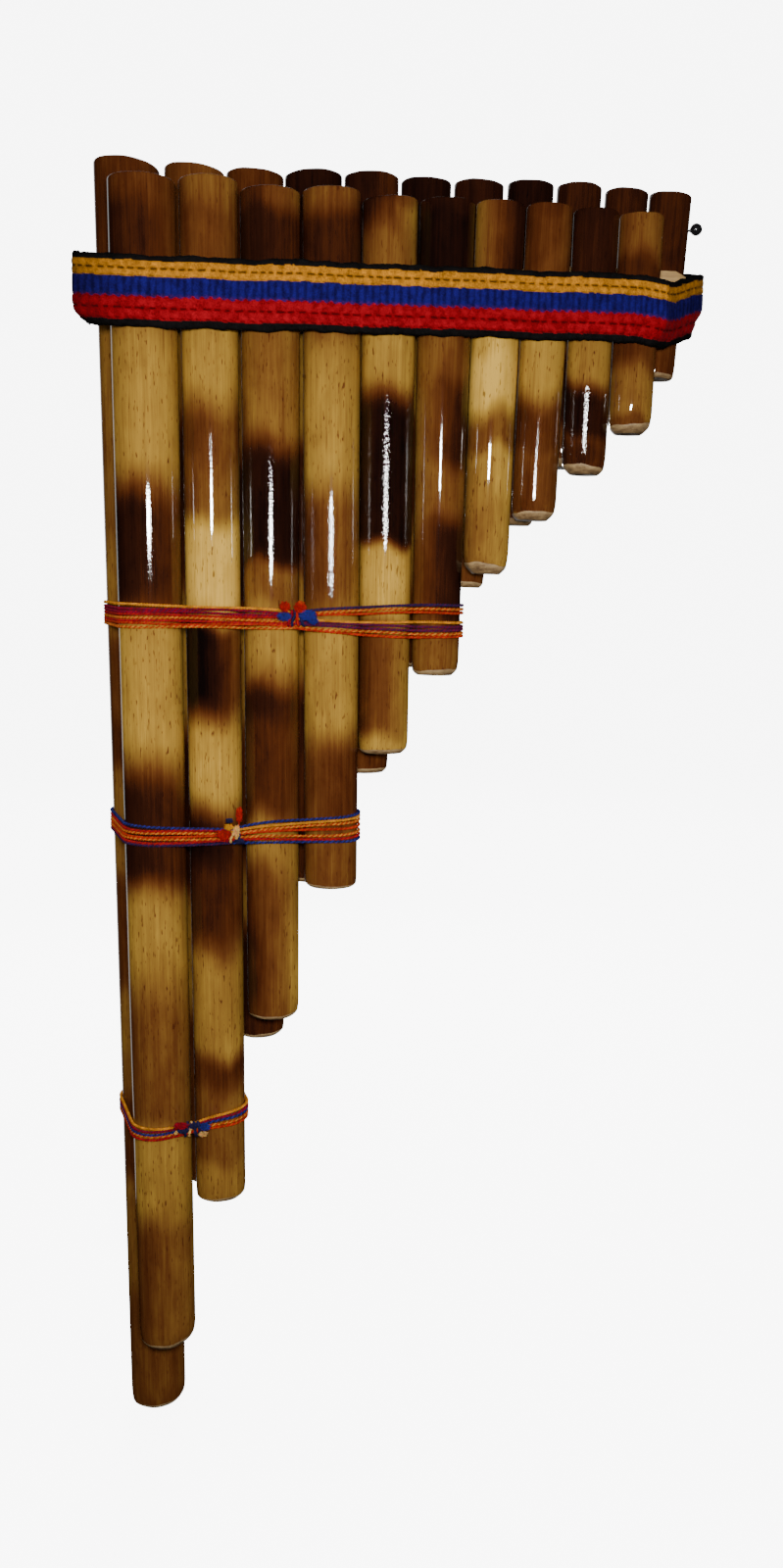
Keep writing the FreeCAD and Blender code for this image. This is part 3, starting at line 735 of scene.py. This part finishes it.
def make_band():
    """The woven band: a thick warp-faced strap, its relief made in the mesh."""
    points = node_points("woven_band")
    tilt = band_tilt(points)
    height = points[:, 2] - points[:, 1] * math.tan(tilt)
    flat = points[:, :2]
    top, bottom = height.max(), height.min()
    levels = np.unique(np.round(height, 5))
    knee = min(levels, key=lambda value: abs(value - (top * 0.38 + bottom * 0.62)))
    count, rows = BAND_AROUND, BAND_ROWS
    upper, normal, loop_length = along(hull(flat[np.abs(height - knee) < LEVEL_NEAR]), count)
    lower, _, _ = along(hull(flat[np.abs(height - bottom) < LEVEL_NEAR]), count)
    tall = top - bottom
    place = np.arange(count) * loop_length / count / MM
    chance = random.Random(7)
    jitter = np.tile([chance.uniform(-1, 1) for _ in range(count)], 3)
    slow = np.convolve(jitter, np.ones(9) / 9.0, "same")[count:2 * count] * 3.0
    slower = np.convolve(jitter, np.ones(41) / 41.0, "same")[count:2 * count] * 6.4

    upper, lower = spread_end(upper), spread_end(lower)
    x = upper[:, 0] / MM
    behind = rearward(upper[:, 1] / MM)
    # The band's colour is darkened strongly at its left end and a little at its right end: painted shade where
    # the band turns round the pipes.
    painted_end_shade = (1.0 - 0.6 * np.exp(-((x + 108.0) / 14.0) ** 2)) * (1.0 - 0.3 * smooth((x - 84.0) / 8.0))
    shades, reliefs = [], []
    for row in range(rows + 1):
        shade, relief = weave_row(row / rows, place, slow)
        shades.append(np.clip(shade * painted_end_shade[:, None], 0, 1))
        reliefs.append(relief)
    lap = smooth((LAP_HALF - np.minimum(place, loop_length / MM - place)) / 0.9) * 0.7
    rings, dyes = [], []

    def cloth(v, offset):
        """Points of the cloth all round, at a share of its height and an offset along its normal in metres."""
        drawn = np.where(x < 0, 0.45 * max(0.0, (v - 0.7) / 0.3) ** 2.4, max(0.0, (v - 0.56) / 0.44) ** 1.4)
        edge = upper + (lower - upper) * drawn[:, None] + normal * np.asarray(offset)[:, None]
        uneven = 0.3 * slow * (abs(v - 0.5) > 0.44) + 0.18 * slower
        dip = -CORNER_DIP * smooth((x - 74.0) / 20.0) * (1.0 - behind)
        rise = (0.7 * smooth((x - 60.0) / 40.0) - (0.9 + 0.9 * drawn) * smooth((-x - 80.0) / 22.0)) * behind
        level = top - v * tall + (uneven + dip + rise + BAND_LIFT) * MM
        return np.column_stack([edge, level + edge[:, 1] * math.tan(tilt)])

    def ring(v, offset, shade):
        rings.append(cloth(v, offset))
        dyes.append(np.hstack([shade, np.ones((count, 1))]))

    plain = np.full(count, -0.55 * MM)
    for row in range(rows + 1):
        v = row / rows
        end = max(0.0, 1.0 - min(v, 1.0 - v) / 0.03)
        ring(v, plain + reliefs[row] * MM + lap * MM - 0.35 * MM * end * end, shades[row])
    for v in (1.008, 0.985, 0.7, 0.4, 0.015, -0.008):
        inner = -0.9 * MM if v in (1.008, -0.008) else -CLOTH_THICK * MM - 0.15 * MM
        ring(v, np.full(count, inner), shades[-1] if v > 0.5 else shades[0])
    band = join("band_cloth", [(np.vstack(rings), np.vstack(dyes), ring_faces(len(rings), count, closed=True))],
                FABRIC_MATERIAL)
    step = loop_length / count

    def surface(far, v, lift):
        """A point on the cloth: mm along it from the rear middle, share of its height, mm off its plain face."""
        return cloth(v, plain + lift * MM)[int(round(far * MM / step)) % count] / MM

    return band, tall, loop_length, surface


band, band_tall, band_loop, band_surface = make_band()
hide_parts("woven_band")
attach(band, "root")


# Thickness of a ply, how far it lies from the cord's middle, and the distance between a cord's points, in mm.
PLY_RADIUS, PLY_OUT = 0.3, 0.27
CORD_STEP = 0.36


def plied(centre, out, up, tints, pitch, phase):
    """Two plies of yarn twisted round a closed centre line. Returns points in metres, dyes and faces."""
    count, sides = len(centre), 6
    length = np.linalg.norm(np.roll(centre, -1, 0) - centre, axis=1).sum() / MM
    turns = round(length / pitch)
    points, dyes, faces = [], [], []
    for ply in range(2):
        twist = TURN * (turns * np.arange(count) / count + ply / 2.0) + phase
        middle = centre + (np.cos(twist)[:, None] * out + np.sin(twist)[:, None] * up) * PLY_OUT * MM
        for k in range(sides):
            a = TURN * k / sides
            points.append(middle + (math.cos(a) * out + math.sin(a) * up) * PLY_RADIUS * MM)
        dyes.append(np.tile(np.column_stack([tints[:, ply], np.ones(count)]), (sides, 1)))
        for k in range(sides):
            a = (ply * sides + k) * count
            b = (ply * sides + (k + 1) % sides) * count
            for i in range(count):
                n = (i + 1) % count
                faces.append((a + i, a + n, b + n, b + i))
    return np.vstack(points), np.vstack(dyes), faces


def make_lashing(name):
    """A lashing: its strands side by side round the pipes, gathered at the knot and bulging over it."""
    (knot_x, knot_z), strands = LASHINGS[name]
    outline = hull(node_points(name)[:, :2])
    _, _, length = along(outline, 100)
    count = int(length / MM / CORD_STEP)
    ring, normal, _ = along(outline, count)
    x = ring[:, 0] / MM
    left, right = x.min(), x.max()
    away = np.abs(x - knot_x)
    reach = np.where(x < knot_x, knot_x - left, right - knot_x)
    share = (1.0 - np.exp(-away / 16.0)) / (1.0 - np.exp(-reach / 16.0))
    behind = smooth((ring[:, 1] / MM + 6.0) / 12.0)
    out = np.column_stack([normal, np.zeros(count)])
    up = np.array((0.0, 0.0, 1.0))
    chance = random.Random(name)
    parts = []
    for k, (at_left, at_knot, at_right, left_plies, right_plies) in enumerate(strands):
        front = at_knot + (np.where(x < knot_x, at_left, at_right) - at_knot) * share
        rear = at_left + (at_right - at_left) * (x - left) / (right - left)
        z = knot_z + front + (rear - front) * behind
        z = z + 0.22 * np.sin(x / chance.uniform(6, 11) + chance.uniform(0, 6))
        bulge = -0.4 + 0.9 * np.exp(-(away / 5.0) ** 2) * (1 - behind) * chance.uniform(0.2, 1.0)
        centre = np.column_stack([ring + normal * (bulge * MM)[:, None], z * MM])
        # In front the colours change at the knot, and behind at a place of each strand's own.
        turn = knot_x + 0.6 * min(knot_x - left, right - knot_x) * math.sin(2.4 * k)
        beyond = np.where(ring[:, 1] > 0, smooth((x - turn + 3.0) / 6.0), x >= knot_x)[:, None, None]
        tints = np.array(left_plies) * (1.0 - beyond) + np.array(right_plies) * beyond
        parts.append(plied(centre, out, up, tints, chance.uniform(1.6, 2.1), chance.uniform(0, 6)))
    return join(name + "_cord", parts, CORD_MATERIAL)


for name in LASHINGS:
    cord = make_lashing(name)
    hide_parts(name)
    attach(cord, "root")


# ---- knots

def strand_tube(path, radii, colour, sides):
    """A tapering tube along a path of points in mm. Returns points in metres, dyes and faces."""
    path = np.asarray(path, float)
    ahead = np.gradient(path, axis=0)
    ahead /= np.linalg.norm(ahead, axis=1)[:, None] + 1e-9
    helper = np.where(np.abs(ahead[:, 2:3]) > 0.9, (1.0, 0.0, 0.0), (0.0, 0.0, 1.0))
    a = np.cross(ahead, helper)
    a /= np.linalg.norm(a, axis=1)[:, None] + 1e-9
    b = np.cross(ahead, a)
    points = []
    for i, radius in enumerate(radii):
        for k in range(sides):
            t = TURN * k / sides
            points.append(path[i] + radius * (math.cos(t) * a[i] + math.sin(t) * b[i]))
    return np.array(points) * MM, np.tile((*colour, 1.0), (len(points), 1)), capped(len(path), sides)


def pompon(chance, centre, radii, colour, upright):
    """The brushed-out end of a cord: a ball of short fibres round a core dyed darker, as painted shade inside
    the ball. radii are along it and across it.
    """
    long, wide = radii
    way = np.array((0.0, 0.0, 1.0) if upright else (1.0, 0.0, 0.0))
    centre = np.array(centre)
    # The core is dyed darker than the fibres: painted shade inside the ball.
    painted_core_shade = tuple(c * 0.6 for c in colour)
    path = [centre + way * long * 0.8 * math.cos(a) for a in np.radians((180, 150, 120, 90, 60, 30, 0))]
    made = [strand_tube(path, [wide * 0.8 * s for s in (0.05, 0.5, 0.87, 1.0, 0.87, 0.5, 0.05)], painted_core_shade, 10)]
    for _ in range(int(60 * long * wide)):
        out = np.array([chance.gauss(0, 1) for _ in range(3)])
        out /= np.linalg.norm(out)
        out[1] = -abs(out[1]) if chance.random() < 0.8 else out[1]
        reach = np.where(way > 0.5, long, wide)
        stray = np.array([chance.gauss(0, 0.25) for _ in range(3)])
        tip = chance.uniform(0.9, 1.15)
        path = [centre + (out * s + stray * (s - 0.5) * 0.6) * reach for s in (0.5, 0.8, tip)]
        tint = tuple(c * chance.uniform(0.55, 1.3) for c in colour)
        made.append(strand_tube(path, (0.17, 0.16, 0.07), tint, 4))
    return made


def coil(centre, colour, tilt):
    """A turn of cord round the strands, standing across them."""
    path = []
    for k in range(29):
        a = TURN * k / 28
        path.append((centre[0] + tilt * math.sin(a) + 0.15 * math.sin(3 * a), centre[1] - 1.5 * math.cos(a),
                     centre[2] + 2.4 * math.sin(a)))
    return strand_tube(path, [0.42 * (1 + 0.12 * math.sin(k * 1.9)) for k in range(29)], colour, 8)


# Knots: turns of cord across the strands (x, colour, tilt) and brushed-out cord ends
# (x, z, half-length, half-width, colour, and True for an upright one), in mm from the knot's place.
KNOTS = {
    "knot_upper": (
        ((-1.9, CRIMSON, 0.7), (-0.8, NAVY, 0.5), (0.4, SCARLET, -0.4), (1.6, NAVY, -0.9)),
        ((-3.6, 3.7, 1.8, 1.8, SCARLET), (1.4, 3.6, 2.0, 1.8, SCARLET), (1.5, 4.8, 1.2, 1.0, ORANGE),
         (-3.8, 0.6, 2.2, 1.5, ROYAL), (3.9, 0.9, 2.6, 1.9, ROYAL), (5.6, -0.8, 1.5, 1.2, ROYAL))),
    "knot_middle": (
        ((-1.0, CRIMSON, 0.5), (0.4, CREAM, 0.7), (1.6, CREAM, -0.6), (2.6, NAVY, -0.4)),
        ((-2.5, 0.5, 2.3, 1.7, SCARLET), (-0.7, 3.0, 1.5, 1.1, GOLD), (1.9, 1.6, 2.1, 1.0, CREAM, True),
         (2.6, 7.0, 2.6, 1.1, SCARLET, True), (-0.6, 5.2, 1.3, 0.9, NAVY), (2.8, -1.8, 1.7, 1.0, NAVY))),
    "knot_lower": (
        ((-2.2, NAVY, 0.5), (-0.9, CREAM, 0.5), (0.7, NAVY, -0.4), (2.2, NAVY, -0.5)),
        ((-4.0, 2.1, 2.5, 1.3, CRIMSON), (4.1, 1.5, 1.8, 1.4, ROYAL), (0.2, 1.9, 1.7, 1.1, NAVY),
         (-3.1, 0.1, 1.8, 0.9, NAVY), (-5.7, -0.4, 0.9, 0.7, CREAM, True), (3.5, -1.1, 1.6, 1.0, CREAM))),
}
# Y of the knots' middles, in mm.
KNOT_Y = -24.6


def knot_parts(name, chance):
    """Turns of cord and brushed-out ends of a knot."""
    x, z = LASHINGS["lashing" + name[4:]][0]
    turns, ends = KNOTS[name]
    parts = [coil((x + dx, KNOT_Y + 0.9, z), colour, tilt) for dx, colour, tilt in turns]
    for dx, dz, long, wide, colour, *upright in ends:
        parts += pompon(chance, (x + dx, KNOT_Y - 0.9, z + dz), (long, wide), colour, bool(upright))
    return parts


for node in ("knot_upper", "knot_middle", "knot_lower"):
    knot = join(node + "_yarn", knot_parts(node, random.Random(node)), CORD_MATERIAL)
    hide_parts(node)
    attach(knot, "root")


# A stitch over the lap's edge, from point to point: mm from the lap's middle, share of the band's height down
# from the stitch's own, and mm off the cloth's plain face.
STITCH = ((13.6, 0.012, -0.5), (13.2, 0.01, 0.55), (12.3, 0.005, 1.25), (11.2, 0.0, 1.55),
          (10.4, -0.005, 1.35), (10.1, -0.006, 0.1))


def lap_stitches():
    """Whip stitches over the two edges of the band's sewn lap, eight on each."""
    parts = []
    for side in (1, -1):
        for k in range(8):
            v = 0.09 + 0.115 * k
            path = [band_surface(side * far, v + slant, lift) for far, slant, lift in STITCH]
            parts.append(strand_tube(path, (0.26, 0.3, 0.3, 0.3, 0.3, 0.26), BLACK, 8))
    return parts


stitches = join("lap_stitches", lap_stitches(), FABRIC_MATERIAL)
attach(stitches, "root")


# ---- splints and pin

# How far the middle splint's right end is pulled out with the band and lies lower, and how much lower its left
# end lies, in mm. Points round it, and its rings.
STRIP_OUT, STRIP_DIP, STRIP_DROP = 2.2, 0.7, 3.6
STRIP_AROUND, STRIP_RINGS = 20, 61


def make_strip(node):
    """A split-cane strip: its edges eased, its ends cut a little out of square and moved with the band's."""
    low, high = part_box(node)
    low, high = np.array(low) / MM, np.array(high) / MM
    middle, half = (low + high) / 2.0, (high - low) / 2.0
    chance = random.Random(node)
    outline = []
    for k in range(STRIP_AROUND):
        a = TURN * k / STRIP_AROUND
        c, s = math.cos(a), math.sin(a)
        outline.append((half[1] * math.copysign(abs(c) ** 0.55, c), half[2] * math.copysign(abs(s) ** 0.25, s)))
    points = []
    for k in range(STRIP_RINGS):
        share = k / (STRIP_RINGS - 1)
        pinch = 1.0 - 0.25 * max(0.0, 1.0 - min(share, 1.0 - share) * 90.0)
        x = low[0] + (high[0] - low[0]) * share
        out = STRIP_OUT * right_end(x) - (0.25 if share > 0.5 else -0.25)
        drop = STRIP_DROP * smooth((72.0 - x) / 60.0) + STRIP_DIP * smooth((x - 60.0) / 30.0)
        for y, z in outline:
            skew = 0.5 * z / half[2] * (share - 0.5)
            wave = 0.1 * math.sin(share * 9 + chance.random() * 0.2)
            points.append((x + skew + out, middle[1] + y * pinch * 0.96,
                           middle[2] + z * pinch * 0.98 - drop + wave))
    return build(node + "_cane", np.array(points) * MM, capped(STRIP_RINGS, STRIP_AROUND), (CANE_MATERIAL,))


strip = make_strip("splint_middle")
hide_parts("splint_middle")
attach(strip, "root")
for node in ("splint_front", "splint_rear"):
    faces = [tuple(face.vertices) for face in NODES[node].data.polygons]
    strip = build(node + "_cane", spread_end(node_points(node)), faces, (CANE_MATERIAL,))
    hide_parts(node)
    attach(strip, "root")

steel = Shader("pin_steel", Metallic=1.0, Roughness=0.28)
place = steel.add("TexCoord", out=3)
scratches = steel.noise(place, (3000.0, 900.0, 900.0), 2.0)
steel.paint(scratches, ((0.3, (0.42, 0.41, 0.39)), (0.7, (0.66, 0.65, 0.62))))
NODES["pin_shaft"].data.materials.clear()
NODES["pin_shaft"].data.materials.append(steel.material)

enamel = Shader("pin_enamel", Roughness=0.22, Coat_Weight=1.0, Coat_Roughness=0.04)
place = enamel.add("TexCoord", out=3)
mottle = enamel.noise(place, (700.0, 700.0, 700.0), 2.0)
enamel.paint(mottle, ((0.3, (0.006, 0.006, 0.007)), (0.7, (0.014, 0.013, 0.014))))


# How much larger the pin's ball is than its plain solid.
BALL_GROWTH = 1.08


def make_pin_head():
    """The moulded ball of the pin: a small collar where the shaft enters and a faint flat at the far end."""
    points = node_points("pin_ball")
    middle = (points.max(0) + points.min(0)) / 2.0 / MM
    radius = (points.max(0) - points.min(0)).max() / 2.0 / MM
    shaft = node_points("pin_shaft").mean(0) / MM
    way = middle - shaft
    way /= np.linalg.norm(way)
    side = np.cross(way, (0.0, 0.0, 1.0))
    side /= np.linalg.norm(side)
    up = np.cross(side, way)
    profile = [(-1.13, 0.0), (-1.12, 0.3), (-1.04, 0.34), (-0.955, 0.33)]
    for k in range(1, 22):
        a = math.radians(-72 + k * 7.4)
        profile.append((math.sin(a), math.cos(a)))
    profile += [(0.985, 0.1), (0.985, 0.0)]
    rings = []
    for t, r in profile:
        for k in range(40):
            a = TURN * k / 40
            rings.append(middle + radius * BALL_GROWTH * (t * way + r * (math.cos(a) * side + math.sin(a) * up)))
    return build("pin_head", np.array(rings) * MM, ring_faces(len(profile), 40), (enamel.material,))


head = make_pin_head()
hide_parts("pin_ball")
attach(head, "root")


# ---- stage, light and camera

def plain(name, radiance):
    """A pale surface that glows evenly, as a lit sweep of paper does."""
    made = Shader(name, Roughness=1.0, Emission_Color=(1.0, 1.0, 1.0, 1.0), Emission_Strength=radiance)
    place = made.add("TexCoord", out=3)
    cloud = made.noise(place, (2.0, 2.0, 2.0), 1.0)
    made.paint(cloud, ((0.3, (0.8, 0.8, 0.8)), (0.7, (0.84, 0.84, 0.84))))
    return made.material


def make_room():
    """Floor and backdrop in one: a flat floor that curves up all round into a wall and a domed roof."""
    floor, curve, wall = 1.6, 1.4, 1.4
    profile = [(0.3, 0.0), (0.9, 0.0), (floor, 0.0)]
    profile += [(floor + curve * math.sin(a), curve * (1 - math.cos(a))) for a in np.radians(range(9, 91, 9))]
    roof = floor + curve
    profile += [(roof * math.cos(a), curve + wall + roof * math.sin(a)) for a in np.radians(range(0, 90, 9))]
    around = 64
    points = [(r * math.cos(a), r * math.sin(a), z - 0.0004) for r, z in profile
              for a in np.arange(around) * 2.0 * math.pi / around]
    return build("room", points, capped(len(profile), around), (plain("paper", 7.5),))


room = make_room()
room.visible_diffuse = False
room.visible_glossy = False
room.visible_shadow = False

world = bpy.data.worlds.new("studio")
world.use_nodes = True
sky = world.node_tree.nodes["Background"].inputs
sky["Color"].default_value = (0.9, 0.95, 1.0, 1.0)
sky["Strength"].default_value = 0.1
bpy.context.scene.world = world
world.cycles_visibility.glossy = False

# Where the camera stands, and how many degrees it is turned to its right, tipped down and rolled.
EYE = Vector((-0.0584, -0.475, 0.3099))
PAN, TIP, ROLL = 6.8, 8.7, 0.84


MIDDLE = (0.0, 0.0, 0.25)


def lamp(name, place, power, aim=MIDDLE, size=(0.9, 0.9), mirrored=False, lights=True):
    """A rectangular lamp. It leaves a highlight only if mirrored, and only the highlight if lights is off."""
    data = bpy.data.lights.new(name, "AREA")
    data.shape = "RECTANGLE"
    data.size, data.size_y = size
    data.energy = power
    light = bpy.data.objects.new(name, data)
    turn = (Vector(aim) - Vector(place)).to_track_quat("-Z", "Y")
    light.matrix_world = Matrix.Translation(place) @ turn.to_matrix().to_4x4()
    light.visible_camera = False
    light.visible_glossy = mirrored
    light.visible_diffuse = lights
    link(light)


lamp("flash", EYE + Vector((0.004, -0.012, 0.031)), 3.4, (-0.02, 0.0, 0.27), (0.075, 0.036), True)
lamp("rear_flash", (0.0, 0.75, 0.36), 2.6, MIDDLE, (0.08, 0.05), True)
lamp("front_softbox", (-0.5, -1.1, 1.5), 0.7)
lamp("rear_softbox", (0.1, 1.3, 0.8), 8.0)
lamp("left_softbox", (-1.2, 0.6, 0.6), 7.0)
lamp("right_softbox", (1.3, 0.35, 0.6), 8.0)
lamp("far_wall", (-0.45, 2.4, 0.45), 17.0, MIDDLE, (2.4, 3.2), True, False)
lamp("top_softbox", (0.0, 0.15, 1.7), 7.0)

lens = bpy.data.cameras.new("camera")
lens.lens = 31.5
lens.sensor_width = 36.0
lens.clip_start = 0.01
camera = bpy.data.objects.new("camera", lens)
camera.matrix_world = (Matrix.Translation(EYE) @ Matrix.Rotation(math.radians(-PAN), 4, "Z")
                       @ Matrix.Rotation(math.radians(90.0 - TIP), 4, "X")
                       @ Matrix.Rotation(math.radians(ROLL), 4, "Z"))
link(camera)
bpy.context.scene.camera = camera
